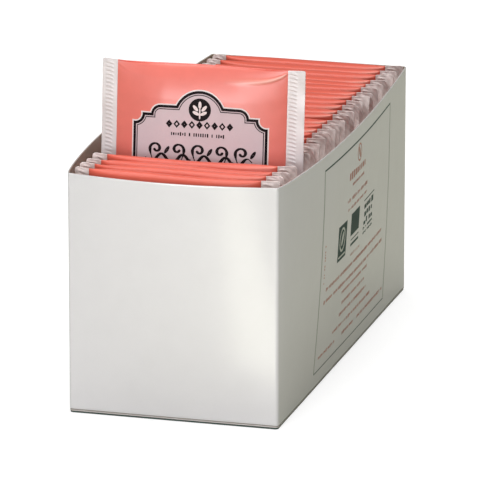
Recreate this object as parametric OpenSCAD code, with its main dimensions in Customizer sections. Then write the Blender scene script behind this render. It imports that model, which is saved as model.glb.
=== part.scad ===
// Open-topped carton of wrapped tea bags.
// The carton stands on its floor with its short front wall towards -Y. A row of
// upright paper sachets fills it from front to back, and one sachet is drawn up.
// The origin is the middle of the whole object's footprint, on the surface it stands on.

/* [Sachet] */
// Width of a sachet across both side seals
sachet_w = 70; // [50:0.1:100]
// Height of a sachet from bottom seal to top fold
sachet_h = 81.6; // [60:0.1:110]
// Thickness of a sachet where the tea bag fills it
sachet_t = 6.4; // [4:0.1:9]
// Width of the flat seal at the left end
seal_left = 5.3; // [3:0.1:9]
// Width of the flat seal at the right end
seal_right = 6; // [3:0.1:9]
// Height of the flat seal along the bottom
seal_bottom = 6.5; // [3:0.1:10]
// Thickness of a seal, two layers of wrapper
seal_t = 0.36; // [0.2:0.02:0.8]
// How far a seal's free edge curls out of line
seal_curl = 0.9; // [0:0.1:1.4]

/* [Row] */
// Number of sachets in the row
sachet_count = 25; // [12:1:36]
// Place in the row of the sachet that is drawn up
drawn_place = 5; // [3:1:10]
// How far that sachet is drawn up
drawn_lift = 29.9; // [0:0.1:45]
// Sideways shift of the drawn sachet
drawn_shift = -0.3; // [-1:0.1:1]
// Turn of the drawn sachet about its upright axis, in degrees
drawn_turn = 0.2; // [-2:0.1:2]
// Free space that each sachet has in the row, at the floor
row_slack = 0.46; // [0.3:0.02:1]
// Free space left between sachets that have closed up
closed_gap = 0.22; // [0.2:0.02:0.3]
// Free space beside a sachet at each end, at the floor
end_gap = 0.5; // [0.5:0.05:3]
// Most that a sachet stands above its lowest seat
seat_rise = 0.8; // [0:0.1:0.9]

/* [Carton] */
// Thickness of the board
board_t = 0.5; // [0.3:0.05:1]
// How far the sachets' folds stand above the rim
rim_drop = 0.4; // [0:0.1:10]
// Outward bow of each long wall, at the middle of its rim
side_bow = 5; // [0:0.1:8]
// Outward bow of the front wall, at the middle of its rim
front_bow = 4.2; // [0:0.1:6]
// Outward bow of the back wall, at the middle of its rim
back_bow = 0; // [0:0.1:4]
// Outside radius of the upright folds
fold_r = 1.2; // [0.7:0.1:3]
// How far the outer bottom flap is set back from the walls
flap_inset = 0.3; // [0.1:0.05:1]

/* [Hidden] */
// The folded floor: the outer flap below, and the inner flap above it.
floor_t = 2 * board_t;
// Air between a seated sachet and the floor, and the least air beside one.
seat_gap = 0.1;
side_air = 0.3;

row_pitch = sachet_t + row_slack;
carton_w = sachet_w + 2 * (end_gap + board_t);
carton_d = sachet_count * row_pitch + 2 * board_t;
carton_h = floor_t + seat_gap + sachet_h - rim_drop;

// The walls' footprint is placed so that the bows leave the origin in the middle.
front_y = -(carton_d + back_bow - front_bow) / 2;
back_y = front_y + carton_d;

// Fineness of the carton's walls: segments along a long wall, a short wall, and up.
long_segments = 14;
short_segments = 8;
wall_segments = 5;
// A bow falls off towards the upright folds by this power of a sine.
bow_power = 0.9;
// A long wall bows most in front of its middle: shares of its length from the front
// are raised to this power.
side_skew = 0.8;

// Depth over which a sachet swells to its full thickness, in from each edge.
swell_side = 17;
swell_top = 6;
swell_bottom = 20;
// Fineness of a sachet's filled part across, as shares of its width.
fill_shares = [0, 0.06, 0.2, 0.5, 0.8, 0.94, 1];
// Heights of a sachet's rows, as depths below its top fold.
top_depths = [0, 0.5, 2, 6];

function sachet_name(i) = str("sachet_", i < 10 ? "0" : "", i);

// A fixed scatter from 0 to 1 for sachet i; each k gives it another unrelated value.
function scatter(i, k) = let (v = sin(i * 137.5 + k * 61.3) * 43.7585) v - floor(v);

// Closed solid from equal rings of points, each given counter-clockwise seen from
// the end that the list runs towards. Each flat end is a strip of triangles that
// crosses from the first half of its ring to the second.
module ring_solid(rings) {
    n = len(rings[0]);
    end = (len(rings) - 1) * n;
    points = [for (ring = rings) each ring];
    sides = [
        for (k = [0:n:end - 1], j = [0:n - 1])
            let (a = k + j, b = k + (j + 1) % n)
                each [[a, a + n, b + n], [a, b + n, b]]
    ];
    start_cap = [
        for (j = [0:n / 2 - 2])
            let (far = n - 1 - j)
                each [[j, j + 1, far], [j + 1, far - 1, far]]
    ];
    end_cap = [for (face = start_cap) [for (k = [2:-1:0]) face[k] + end]];
    polyhedron(points, concat(sides, start_cap, end_cap), convexity = 8);
}

// Share of a wall's bow at share s along it and height z.
function bow_share(s, z) =
    pow(max(0, sin(180 * s)), bow_power) * sin(90 * z / carton_h);

// Share along a long wall, from 0 at its front to 1 at its back, as its bow takes it.
function skewed(s) = pow(s, side_skew);

// Points of one wall from corner p to corner q, bowed to the right of that direction.
// The shares list gives where along the wall the bow takes each of its points to be.
function wall_points(p, q, bow, shares, z) =
    let (along = q - p, out = [along.y, -along.x] / norm(along), last = len(shares) - 1)
        [for (k = [0:last]) p + along * k / last + out * bow * bow_share(shares[k], z)];

short_shares = [for (k = [0:short_segments]) k / short_segments];
long_shares = [for (k = [0:long_segments]) skewed(k / long_segments)];
function reversed(list) = [for (k = [len(list) - 1:-1:0]) list[k]];

// The two points that round an upright fold, centred at c, from angle start on.
function fold_points(c, r, start) =
    [for (a = [30, 60]) c + r * [cos(start + a), sin(start + a)]];

// One ring round the carton at height z, lying inset inside its outer face.
function carton_ring(z, inset) =
    let (
        x = carton_w / 2 - inset,
        y0 = front_y + inset,
        y1 = back_y - inset,
        r = max(fold_r - inset, 0.2)
    )
    [
        for (p = concat(
            wall_points([-x + r, y0], [x - r, y0], front_bow, short_shares, z),
            fold_points([x - r, y0 + r], r, -90),
            wall_points([x, y0 + r], [x, y1 - r], side_bow, long_shares, z),
            fold_points([x - r, y1 - r], r, 0),
            wall_points([x - r, y1], [-x + r, y1], back_bow, short_shares, z),
            fold_points([-x + r, y1 - r], r, 90),
            wall_points([-x, y1 - r], [-x, y0 + r], side_bow, reversed(long_shares), z),
            fold_points([-x + r, y0 + r], r, 180)
        )) [p.x, p.y, z]
    ];

// The carton, folded from one sheet of board: floor flaps, four walls and an open top.
module carton() {
    heights = [for (k = [0:wall_segments]) board_t + (carton_h - board_t) * k / wall_segments];
    outside = concat(
        [carton_ring(0, flap_inset), carton_ring(board_t, flap_inset)],
        [for (z = heights) carton_ring(z, 0)]
    );
    inside = [
        for (k = [wall_segments:-1:0])
            carton_ring(max(heights[k], floor_t), board_t)
    ];
    color("whitesmoke") ring_solid(concat(outside, inside));
}

// Rise from 0 at an edge to 1 at depth reach, along a quarter of an ellipse.
function swell(depth, reach) =
    let (gap = 1 - min(max(depth, 0) / reach, 1)) sqrt(1 - gap * gap);

// Half the thickness of a sachet at x across and z up.
function half_thickness(x, z) =
    let (
        from_left = x + sachet_w / 2 - seal_left,
        from_right = sachet_w / 2 - seal_right - x,
        side = swell(min(from_left, from_right), swell_side),
        up = swell(z - seal_bottom, swell_bottom) * swell(sachet_h - z, swell_top)
    )
    seal_t / 2 + (sachet_t - seal_t) / 2 * side * up;

// How far the wrapper's middle plane curls at x, for sachet i: only its seals curl.
function curl_at(x, i) =
    let (
        left = max(0, seal_left - sachet_w / 2 - x) / seal_left,
        right = max(0, x - sachet_w / 2 + seal_right) / seal_right
    )
    seal_curl * (left * (2 * scatter(i, 1) - 1) + right * (2 * scatter(i, 2) - 1));

// One ring round a sachet at height z: along its front face, then back along its rear.
function sachet_ring(i, z) =
    let (
        filled_w = sachet_w - seal_left - seal_right,
        columns = concat(
            [-sachet_w / 2],
            [for (share = fill_shares) -sachet_w / 2 + seal_left + filled_w * share],
            [sachet_w / 2]
        ),
        last = len(columns) - 1
    )
    concat(
        [for (k = [0:last]) let (x = columns[k]) [x, curl_at(x, i) - half_thickness(x, z), z]],
        [for (k = [last:-1:0]) let (x = columns[k]) [x, curl_at(x, i) + half_thickness(x, z), z]]
    );

// A wrapped tea bag, upright, with the middle of its bottom edge at the origin.
module sachet(i) {
    heights = concat(
        [0, seal_bottom, seal_bottom + swell_bottom / 4],
        [seal_bottom + swell_bottom],
        [for (k = [len(top_depths) - 1:-1:0]) sachet_h - top_depths[k]]
    );
    color("salmon") ring_solid([for (z = heights) sachet_ring(i, z)]);
}

// Behind the drawn sachet the others have closed up towards the back wall, so each
// leans a little less than the one in front of it, and the last stands upright.
lean_step = atan((row_slack - closed_gap) / sachet_h);

// The drawn sachet's foot stays over its own place, and it leans back until it meets
// the shoulder of the next one, at the height where that one swells to its full thickness.
shoulder_h = sachet_h - swell_top;
next_lean = lean_step * (sachet_count - drawn_place - 1);
turn_room = sachet_w / 4 * abs(tan(drawn_turn));
shoulder_y = row_pitch + shoulder_h * sin(next_lean) - sachet_t - closed_gap - turn_room;
drawn_lean = atan(shoulder_y / (shoulder_h * cos(next_lean) - drawn_lift));

function lean_of(i) =
    i < drawn_place ? 0 : i == drawn_place ? drawn_lean : lean_step * (sachet_count - i);

// Seat of sachet i: its sideways shift, its place along the row, and its height.
function seat_of(i) = [
    i == drawn_place ? drawn_shift : (2 * scatter(i, 3) - 1) * (end_gap - side_air),
    front_y + board_t + row_pitch * (i - 0.5),
    floor_t + seat_gap + (i == drawn_place ? drawn_lift : seat_rise * scatter(i, 4))
];

module seated_sachet(i) {
    turn = i == drawn_place ? drawn_turn : 0;
    translate(seat_of(i)) rotate([-lean_of(i), 0, turn]) sachet(i);
}

carton();
for (i = [1:sachet_count])
    seated_sachet(i);
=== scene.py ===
"""An open carton filled with a row of wrapped tea bags, one of them drawn up above the rest."""

import math

import bpy
import numpy as np
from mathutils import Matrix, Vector


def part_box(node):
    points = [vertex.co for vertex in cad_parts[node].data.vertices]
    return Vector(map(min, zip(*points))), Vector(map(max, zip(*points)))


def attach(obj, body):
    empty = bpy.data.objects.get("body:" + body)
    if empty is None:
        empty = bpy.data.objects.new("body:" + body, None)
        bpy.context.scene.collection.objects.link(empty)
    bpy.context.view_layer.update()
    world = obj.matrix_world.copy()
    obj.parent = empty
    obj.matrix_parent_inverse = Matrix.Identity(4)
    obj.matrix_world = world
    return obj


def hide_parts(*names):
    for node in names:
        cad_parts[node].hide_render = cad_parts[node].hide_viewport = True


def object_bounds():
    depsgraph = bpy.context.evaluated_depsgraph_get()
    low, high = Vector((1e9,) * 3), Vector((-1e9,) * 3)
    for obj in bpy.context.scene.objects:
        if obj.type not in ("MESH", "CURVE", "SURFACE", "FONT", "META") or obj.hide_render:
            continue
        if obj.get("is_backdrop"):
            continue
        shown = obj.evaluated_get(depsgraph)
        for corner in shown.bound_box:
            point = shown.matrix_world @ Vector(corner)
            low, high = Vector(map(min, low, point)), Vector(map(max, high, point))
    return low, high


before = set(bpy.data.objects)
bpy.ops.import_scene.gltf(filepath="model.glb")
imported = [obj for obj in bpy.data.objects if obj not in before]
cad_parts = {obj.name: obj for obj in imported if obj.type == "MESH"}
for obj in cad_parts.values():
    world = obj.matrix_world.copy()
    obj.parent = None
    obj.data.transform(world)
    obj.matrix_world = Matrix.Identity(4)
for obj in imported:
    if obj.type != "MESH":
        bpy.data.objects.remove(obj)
cad_low, cad_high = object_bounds()

# ---------------------------------------------------------------------------
# Carton walls. One sheet of white coated board, creased at four upright folds and glued
# into a tube. The sachets push its long walls and its front wall outwards at the rim.
# ---------------------------------------------------------------------------
MM = 0.001
BOARD_T = 0.5 * MM
FLOOR_T = 2 * BOARD_T
FOLD_R = 1.2 * MM
SIDE_BOW = 5.0 * MM
FRONT_BOW = 4.2 * MM
BOW_POWER = 0.9
SIDE_SKEW = 0.8
FLAP_INSET = 0.3 * MM
LEAST_FOLD_R = 0.15 * MM
RIPPLE = 0.05 * MM
LONG_STEPS = 96
SHORT_STEPS = 56
FOLD_STEPS = 7

carton_low, carton_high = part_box("carton")
carton_h = carton_high.z
wall_x = carton_high.x - SIDE_BOW
front_y = carton_low.y + FRONT_BOW
back_y = carton_high.y


def bow_share(share, z):
    """Share of a wall's bow at a share of its length and at height z."""
    along = np.clip(np.sin(np.pi * share), 0, None) ** BOW_POWER
    return along * np.sin(np.pi / 2 * z / carton_h)


def board_ripple(along, z):
    """Faint unevenness of the board, in metres, always inwards."""
    long_wave = np.sin(along / (19 * MM) + 1.3 * np.sin(z / (17 * MM)))
    cross_wave = np.sin(z / (14 * MM) + 2.1 * np.sin(along / (31 * MM) + 0.7))
    return RIPPLE * (long_wave * cross_wave - 1)


def skewed(share):
    """Share along a long wall from its front, as its bow takes it."""
    return np.clip(share, 0, 1) ** SIDE_SKEW


def wall_run(start, end, bow, shares, z, inset):
    """Points along one wall, bowed to the right; shares say where the bow takes them to be."""
    start, end = np.array(start), np.array(end)
    along = end - start
    length = np.hypot(*along)
    out = np.array([along[1], -along[0]]) / length
    share = np.linspace(0, 1, len(shares))[:, None]
    proud = bow * bow_share(shares[:, None], z)
    if inset < BOARD_T:
        proud = proud + board_ripple(share * length, z) * np.sin(np.pi * share) ** 0.5
    return start + along * share + out * proud


def fold_run(centre, radius, start_angle):
    """Points round one upright fold, without its two ends."""
    turn = np.radians(start_angle) + np.linspace(0, np.pi / 2, FOLD_STEPS + 1)[1:-1, None]
    return np.array(centre) + radius * np.hstack([np.cos(turn), np.sin(turn)])


short_shares = np.linspace(0, 1, SHORT_STEPS + 1)
long_shares = skewed(np.linspace(0, 1, LONG_STEPS + 1))


def carton_ring(z, end_inset, side_inset):
    """One closed ring round the carton at height z, set in from its end and side walls."""
    x, low, high = wall_x - side_inset, front_y + end_inset, back_y - end_inset
    r = max(FOLD_R - side_inset, LEAST_FOLD_R)
    runs = [
        wall_run((-x + r, low), (x - r, low), FRONT_BOW, short_shares, z, end_inset),
        fold_run((x - r, low + r), r, -90),
        wall_run((x, low + r), (x, high - r), SIDE_BOW, long_shares, z, side_inset),
        fold_run((x - r, high - r), r, 0),
        wall_run((x - r, high), (-x + r, high), 0, short_shares, z, end_inset),
        fold_run((-x + r, high - r), r, 90),
        wall_run((-x, high - r), (-x, low + r), SIDE_BOW, long_shares[::-1], z, side_inset),
        fold_run((-x + r, low + r), r, 180),
    ]
    ring = np.vstack(runs)
    return np.column_stack([ring, np.full(len(ring), z)])


def ring_faces(ring_count, ring_size):
    """Quads between successive closed rings, facing outwards."""
    k, j = np.meshgrid(np.arange(ring_count - 1), np.arange(ring_size), indexing="ij")
    a = k * ring_size + j
    b = k * ring_size + (j + 1) % ring_size
    return np.stack([a, b, b + ring_size, a + ring_size], axis=-1).reshape(-1, 4).tolist()


def cap_faces(ring_size, first, flip):
    """Quads that close one end ring, from its first half across to its second."""
    j = np.arange(ring_size // 2 - 1)
    quads = np.stack([j, ring_size - 1 - j, ring_size - 2 - j, j + 1], axis=-1) + first
    return (quads[:, ::-1] if flip else quads).tolist()


def new_piece(name, points, faces, material, smooth=True):
    """A mesh object at the origin, with its place in its mesh."""
    mesh = bpy.data.meshes.new(name)
    mesh.from_pydata(np.asarray(points, float).reshape(-1, 3).tolist(), [], faces)
    mesh.polygons.foreach_set("use_smooth", [smooth] * len(mesh.polygons))
    mesh.validate()
    piece = bpy.data.objects.new(name, mesh)
    bpy.context.scene.collection.objects.link(piece)
    if material:
        mesh.materials.append(material)
    return piece


def point_values(piece, name, values):
    """Stores one number for each point, for a material to read."""
    layer = piece.data.attributes.new(name, "FLOAT", "POINT")
    layer.data.foreach_set("value", np.asarray(values, np.float32).ravel())


def new_material(name):
    """A material, with its node tree and the shader in it."""
    material = bpy.data.materials.new(name)
    material.use_nodes = True
    tree = material.node_tree
    return material, tree, tree.nodes["Principled BSDF"]


def add_node(tree, kind, inputs=None, **settings):
    """A node with its settings; each input takes a value or another node's output."""
    node = tree.nodes.new(kind)
    for key, value in settings.items():
        setattr(node, key, value)
    for key, value in (inputs or {}).items():
        if isinstance(value, bpy.types.NodeSocket):
            tree.links.new(value, node.inputs[key])
        else:
            node.inputs[key].default_value = value
    return node


def calc(tree, operation, first, second=0.0, third=0.0, clamp=False):
    """The result of one Math node."""
    values = {0: first, 1: second, 2: third}
    node = add_node(tree, "ShaderNodeMath", values, operation=operation, use_clamp=clamp)
    return node.outputs[0]


def blend_colors(tree, share, first, second, mode="MIX"):
    """The colour of one Mix node, from the first colour to the second."""
    values = {0: share, 6: first, 7: second}
    node = add_node(tree, "ShaderNodeMix", values, data_type="RGBA", blend_type=mode)
    return node.outputs[2]


def socket_group(name, inputs, outputs):
    """An empty shader node group with named sockets."""
    group = bpy.data.node_groups.new(name, "ShaderNodeTree")
    for label, kind, value in inputs:
        socket = group.interface.new_socket(label, in_out="INPUT", socket_type=kind)
        socket.default_value = value
    for label, kind in outputs:
        group.interface.new_socket(label, in_out="OUTPUT", socket_type=kind)
    source = group.nodes.new("NodeGroupInput")
    result = group.nodes.new("NodeGroupOutput")
    return group, source.outputs, result.inputs


# Paper fibre: fine grain and broad clouding, which the board and the wrappers share.
fibre_group, fibre_in, fibre_out = socket_group(
    "Paper fibre",
    [
        ("Grain Scale", "NodeSocketFloat", 2500.0),
        ("Cloud Scale", "NodeSocketFloat", 90.0),
        ("Color Change", "NodeSocketFloat", 0.04),
        ("Color", "NodeSocketColor", (0.8, 0.8, 0.8, 1.0)),
    ],
    [("Color", "NodeSocketColor"), ("Height", "NodeSocketFloat"), ("Cloud", "NodeSocketFloat")],
)
fibre_place = add_node(fibre_group, "ShaderNodeTexCoord").outputs["Object"]
fibre_grain = add_node(
    fibre_group,
    "ShaderNodeTexNoise",
    {"Vector": fibre_place, "Scale": fibre_in["Grain Scale"], "Detail": 3.0, "Roughness": 0.65},
).outputs["Fac"]
fibre_cloud = add_node(
    fibre_group,
    "ShaderNodeTexNoise",
    {"Vector": fibre_place, "Scale": fibre_in["Cloud Scale"], "Detail": 4.0, "Roughness": 0.6},
).outputs["Fac"]
GRAIN_SHARE, CLOUD_SHARE = 0.8, 1.6
grain_part = calc(fibre_group, "MULTIPLY", fibre_grain, GRAIN_SHARE)
fibre_mixed = calc(fibre_group, "MULTIPLY_ADD", fibre_cloud, CLOUD_SHARE, grain_part)
fibre_swing = calc(fibre_group, "SUBTRACT", fibre_mixed, (GRAIN_SHARE + CLOUD_SHARE) / 2)
fibre_gain = calc(fibre_group, "MULTIPLY_ADD", fibre_swing, fibre_in["Color Change"], 1.0)
gain_rgb = {0: fibre_gain, 1: fibre_gain, 2: fibre_gain}
fibre_tint = add_node(fibre_group, "ShaderNodeCombineColor", gain_rgb)
fibre_color = blend_colors(fibre_group, 1.0, fibre_in["Color"], fibre_tint.outputs[0], "MULTIPLY")
fibre_group.links.new(fibre_color, fibre_out["Color"])
fibre_group.links.new(fibre_grain, fibre_out["Height"])
fibre_group.links.new(fibre_cloud, fibre_out["Cloud"])

# Coated board: glossy white outside, raw grey-brown inside and at its cut edges.
COAT_COLOR = (0.77, 0.76, 0.80, 1.0)
RAW_COLOR = (0.33, 0.255, 0.18, 1.0)
# A dark teal at the foot of the walls; it also darkens the gap above the flaps as painted shade.
DARK_FOOT_AND_SHADE = (0.035, 0.065, 0.06, 1.0)
BOARD_CLOUDS = 120.0
COAT_ROUGHNESS = 0.26
RAW_ROUGHER = 0.45
CLOUD_ROUGHER = 0.14
board_material, board_tree, board_shader = new_material("coated_board")
raw_share = add_node(board_tree, "ShaderNodeAttribute", attribute_name="raw_board").outputs["Fac"]
dark_share = add_node(board_tree, "ShaderNodeAttribute", attribute_name="dark_foot_and_shade").outputs["Fac"]
board_color = blend_colors(board_tree, raw_share, COAT_COLOR, RAW_COLOR)
board_color = blend_colors(board_tree, dark_share, board_color, DARK_FOOT_AND_SHADE)
board_fibre = add_node(board_tree, "ShaderNodeGroup", node_tree=fibre_group)
board_fibre.inputs["Cloud Scale"].default_value = BOARD_CLOUDS
board_fibre.inputs["Color Change"].default_value = 0.035
board_tree.links.new(board_color, board_fibre.inputs["Color"])
board_tree.links.new(board_fibre.outputs["Color"], board_shader.inputs["Base Color"])
board_cloud = board_fibre.outputs["Cloud"]
coat_rough = calc(board_tree, "MULTIPLY_ADD", board_cloud, CLOUD_ROUGHER, COAT_ROUGHNESS)
board_rough = calc(board_tree, "MULTIPLY_ADD", raw_share, RAW_ROUGHER, coat_rough, clamp=True)
board_tree.links.new(board_rough, board_shader.inputs["Roughness"])
board_bump = add_node(
    board_tree,
    "ShaderNodeBump",
    {"Strength": 0.12, "Distance": 0.00004, "Height": board_fibre.outputs["Height"]},
)
board_tree.links.new(board_bump.outputs[0], board_shader.inputs["Normal"])
board_place = add_node(board_tree, "ShaderNodeTexCoord").outputs["Object"]
dent_noise = add_node(
    board_tree,
    "ShaderNodeTexNoise",
    {"Vector": board_place, "Scale": BOARD_CLOUDS, "Detail": 4.0, "Roughness": 0.6},
)
board_dents = add_node(
    board_tree,
    "ShaderNodeBump",
    {"Strength": 0.5, "Distance": 0.0001, "Height": dent_noise.outputs["Fac"]},
)
board_tree.links.new(board_dents.outputs[0], board_shader.inputs["Coat Normal"])
board_shader.inputs["Coat Weight"].default_value = 0.9
board_shader.inputs["Coat Roughness"].default_value = 0.17

# Each entry of the profile is a height, the insets of the end walls and of the side walls
# from their outer faces, and how raw the board there is and how much of the dark colour it
# takes. The floor's two layers of flaps show as two bands under the end walls, the lower one
# dark, with a gap above them that is darkened as painted shade.
FLAP_BREAK = 0.6 * MM
FLAP_TOP = 1.0 * MM
WALL_FOOT = 1.22 * MM
FLAP_GAP_DEPTH = 0.6 * MM
RIM_ROUND = 0.07 * MM
RIM_DROP = 0.12 * MM
wall_heights = np.linspace(2.2 * MM, carton_h - 0.5 * MM, 40)
profile = [
    (0.0, 0.34 * MM, FLAP_INSET, 0.5, 1.0),
    (0.08 * MM, 0.26 * MM, 0.16 * MM, 0.5, 1.0),
    (0.58 * MM, 0.26 * MM, 0.16 * MM, 0.5, 1.0),
    (FLAP_BREAK, 0.26 * MM, 0.14 * MM, 0.5, 1.0),
    (FLAP_BREAK, 0.2 * MM, 0.1 * MM, 0.6, 0.0),
    (0.64 * MM, 0.12 * MM, 0.05 * MM, 0.5, 0.0),
    (0.98 * MM, 0.12 * MM, 0.0, 0.35, 0.0),
    # The gap above the flaps and its edges are darkened as painted shade.
    (FLAP_TOP, 0.2 * MM, 0.0, 0.35, 0.2),
    (FLAP_TOP, FLAP_GAP_DEPTH, 0.0, 0.9, 0.5),
    (WALL_FOOT, FLAP_GAP_DEPTH, 0.0, 0.9, 0.5),
    (WALL_FOOT, 0.22 * MM, 0.0, 0.2, 0.2),
    (1.32 * MM, 0.06 * MM, 0.0, 0.0, 0.0),
    (1.5 * MM, 0.0, 0.0, 0.0, 0.0),
]
profile += [(z, 0.0, 0.0, 0.0, 0.0) for z in wall_heights]
profile += [
    (carton_h - RIM_DROP, 0.0, 0.0, 0.0, 0.0),
    (carton_h, RIM_ROUND, RIM_ROUND, 0.45, 0.0),
    (carton_h, BOARD_T - RIM_ROUND, BOARD_T - RIM_ROUND, 0.75, 0.0),
    (carton_h - RIM_DROP, BOARD_T, BOARD_T, 1.0, 0.0),
]
profile += [(z, BOARD_T, BOARD_T, 1.0, 0.0) for z in wall_heights[::-2]]
profile += [(FLOOR_T, BOARD_T, BOARD_T, 1.0, 0.0)]
rings = [carton_ring(*entry[:3]) for entry in profile]
ring_size = len(rings[0])
faces = ring_faces(len(rings), ring_size)
faces += cap_faces(ring_size, 0, flip=False)
faces += cap_faces(ring_size, (len(rings) - 1) * ring_size, flip=True)
carton = new_piece("carton_board", rings, faces, board_material)
point_values(carton, "raw_board", np.repeat([entry[3] for entry in profile], ring_size))
point_values(carton, "dark_foot_and_shade", np.repeat([entry[4] for entry in profile], ring_size))
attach(carton, "root")
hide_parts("carton")

# ---------------------------------------------------------------------------
# Print on the right wall. A ruled frame, a plain emblem, three dark blocks and rows of text
# too small to read, in dark green and dull red ink. Small bars stand for the words.
# ---------------------------------------------------------------------------
INK_PROUD = 0.02 * MM
INK_STEP = 0.02 * MM
INK_THICK = 0.05 * MM
PATCH_STEP = 1.6 * MM
RING_STEP = 0.8 * MM
OVAL_POINTS = 28


def on_right_wall(flat, proud):
    """Points on the right wall from their distances along it and their heights."""
    along, z = flat[..., 0], flat[..., 1]
    length = back_y - front_y - 2 * FOLD_R
    share = np.clip((along - FOLD_R) / length, 0, 1)
    bow = SIDE_BOW * bow_share(skewed(share), z)
    ripple = board_ripple(share * length, z) * np.sin(np.pi * share) ** 0.5
    return np.stack([wall_x + bow + ripple + proud, front_y + along, z], axis=-1)


def draped_slab(flat, faces, drape, proud):
    """A thin closed slab of ink, laid on a surface by its drape function."""
    faces = [list(face) for face in faces]
    count = len(flat)
    edges = {(a, b) for face in faces for a, b in zip(face, face[1:] + face[:1])}
    sides = [[b, a, a + count, b + count] for a, b in sorted(edges) if (b, a) not in edges]
    backs = [[k + count for k in reversed(face)] for face in faces]
    points = np.concatenate([drape(flat, proud), drape(flat, proud - INK_THICK)])
    return points, faces + sides + backs


def join_parts(parts):
    """One list of points and one of faces from several."""
    points, faces, first = [], [], 0
    for part_points, part_faces in parts:
        points.append(np.asarray(part_points).reshape(-1, 3))
        faces += [[k + first for k in face] for face in part_faces]
        first += len(points[-1])
    return np.concatenate(points), faces


def band(outer, inner, closed=True):
    """Flat points and quads between two lines of points of equal length."""
    faces = ring_faces(2, len(outer))
    return np.concatenate([outer, inner]), faces if closed else faces[:-1]


def grid_faces(row_count, row_size):
    """Quads between rows of points, anticlockwise where each row lies above the last."""
    return [
        [a, a + 1, a + row_size + 1, a + row_size]
        for first in range(0, (row_count - 1) * row_size, row_size)
        for a in range(first, first + row_size - 1)
    ]


def patch(front, back, low, high):
    """Flat points and quads of a rectangle, fine enough to follow a bow."""
    columns = np.linspace(front, back, int((back - front) / PATCH_STEP) + 2)
    rows = np.linspace(low, high, int((high - low) / PATCH_STEP) + 2)
    flat = np.stack(np.meshgrid(columns, rows), axis=-1).reshape(-1, 2)
    return flat, grid_faces(len(rows), len(columns))


def oval(middle, radii, turn):
    """Points round an oval, anticlockwise."""
    angle = np.linspace(0, 2 * np.pi, OVAL_POINTS, endpoint=False)
    x, z = radii[0] * np.cos(angle), radii[1] * np.sin(angle)
    c, s = math.cos(turn), math.sin(turn)
    return np.stack([middle[0] + c * x - s * z, middle[1] + s * x + c * z], axis=-1)


def ring_slab(middle, outer, inner, drape, proud, turn=0.0):
    """An oval ring of ink; an inner size close to nothing fills it."""
    outer, inner = np.array(outer), np.array(inner)
    steps = max(1, round((outer - inner).max() / RING_STEP))
    ovals = [oval(middle, outer + (inner - outer) * k / steps, turn) for k in range(steps + 1)]
    return draped_slab(np.concatenate(ovals), ring_faces(steps + 1, OVAL_POINTS), drape, proud)


def stroke(line, width, drape, proud):
    """A ribbon of ink along a line of flat points, with a width for each point."""
    along = np.gradient(line, axis=0)
    along /= np.hypot(along[:, 0], along[:, 1])[:, None]
    left = np.stack([-along[:, 1], along[:, 0]], axis=-1)
    half = width[:, None] / 2
    flat, faces = band(line - half * left, line + half * left, closed=False)
    return draped_slab(flat, faces, drape, proud)


def run_nodes(piece, tree, values):
    """Applies a Geometry Nodes tree to a piece and leaves it a plain mesh."""
    modifier = piece.modifiers.new(tree.name, "NODES")
    modifier.node_group = tree
    sockets = {s.name: s.identifier for s in tree.interface.items_tree if s.in_out == "INPUT"}
    for label, value in values.items():
        modifier[sockets[label]] = value
    graph = bpy.context.evaluated_depsgraph_get()
    result = bpy.data.meshes.new_from_object(piece.evaluated_get(graph))
    piece.modifiers.remove(modifier)
    old, piece.data = piece.data, result
    bpy.data.meshes.remove(old)
    result.name = piece.name


# A row of text as a run of small upright bars of uneven height, with gaps between words.
word_inputs = {
    "Length": 20 * MM,
    "Bar Pitch": 0.75 * MM,
    "Bar Width": 0.5 * MM,
    "Bar Height": 1.2 * MM,
    "Thickness": INK_THICK,
    "Gap Share": 0.16,
}
words = bpy.data.node_groups.new("Word bars", "GeometryNodeTree")
words.interface.new_socket("Geometry", in_out="INPUT", socket_type="NodeSocketGeometry")
for label, value in word_inputs.items():
    socket = words.interface.new_socket(label, in_out="INPUT", socket_type="NodeSocketFloat")
    socket.default_value = value
words.interface.new_socket("Seed", in_out="INPUT", socket_type="NodeSocketInt").default_value = 1
words.interface.new_socket("Material", in_out="INPUT", socket_type="NodeSocketMaterial")
words.interface.new_socket("Geometry", in_out="OUTPUT", socket_type="NodeSocketGeometry")
words_in = words.nodes.new("NodeGroupInput").outputs
bar_count = calc(words, "DIVIDE", words_in["Length"], words_in["Bar Pitch"])
bar_step = add_node(words, "ShaderNodeCombineXYZ", {"X": words_in["Bar Pitch"]})
bar_line = add_node(
    words,
    "GeometryNodeMeshLine",
    {"Count": bar_count, "Offset": bar_step.outputs[0]},
    mode="OFFSET",
)
is_gap = add_node(
    words,
    "FunctionNodeRandomValue",
    {"Probability": words_in["Gap Share"], "Seed": words_in["Seed"]},
    data_type="BOOLEAN",
)
bar_places = add_node(
    words,
    "GeometryNodeDeleteGeometry",
    {"Geometry": bar_line.outputs[0], "Selection": is_gap.outputs[3]},
    domain="POINT",
)
bar_size = add_node(
    words,
    "ShaderNodeCombineXYZ",
    {"X": words_in["Bar Width"], "Y": words_in["Bar Height"], "Z": words_in["Thickness"]},
)
bar = add_node(words, "GeometryNodeMeshCube", {"Size": bar_size.outputs[0]})
bar_scale = add_node(
    words,
    "FunctionNodeRandomValue",
    {"Min": (0.7, 0.55, 1.0), "Max": (1.25, 1.0, 1.0), "Seed": words_in["Seed"]},
    data_type="FLOAT_VECTOR",
)
bars = add_node(
    words,
    "GeometryNodeInstanceOnPoints",
    {"Points": bar_places.outputs[0], "Instance": bar.outputs[0], "Scale": bar_scale.outputs[0]},
)
real_bars = add_node(words, "GeometryNodeRealizeInstances", {"Geometry": bars.outputs[0]})
inked_bars = add_node(
    words,
    "GeometryNodeSetMaterial",
    {"Geometry": real_bars.outputs[0], "Material": words_in["Material"]},
)
words.links.new(inked_bars.outputs[0], words.nodes.new("NodeGroupOutput").inputs[0])


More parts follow.
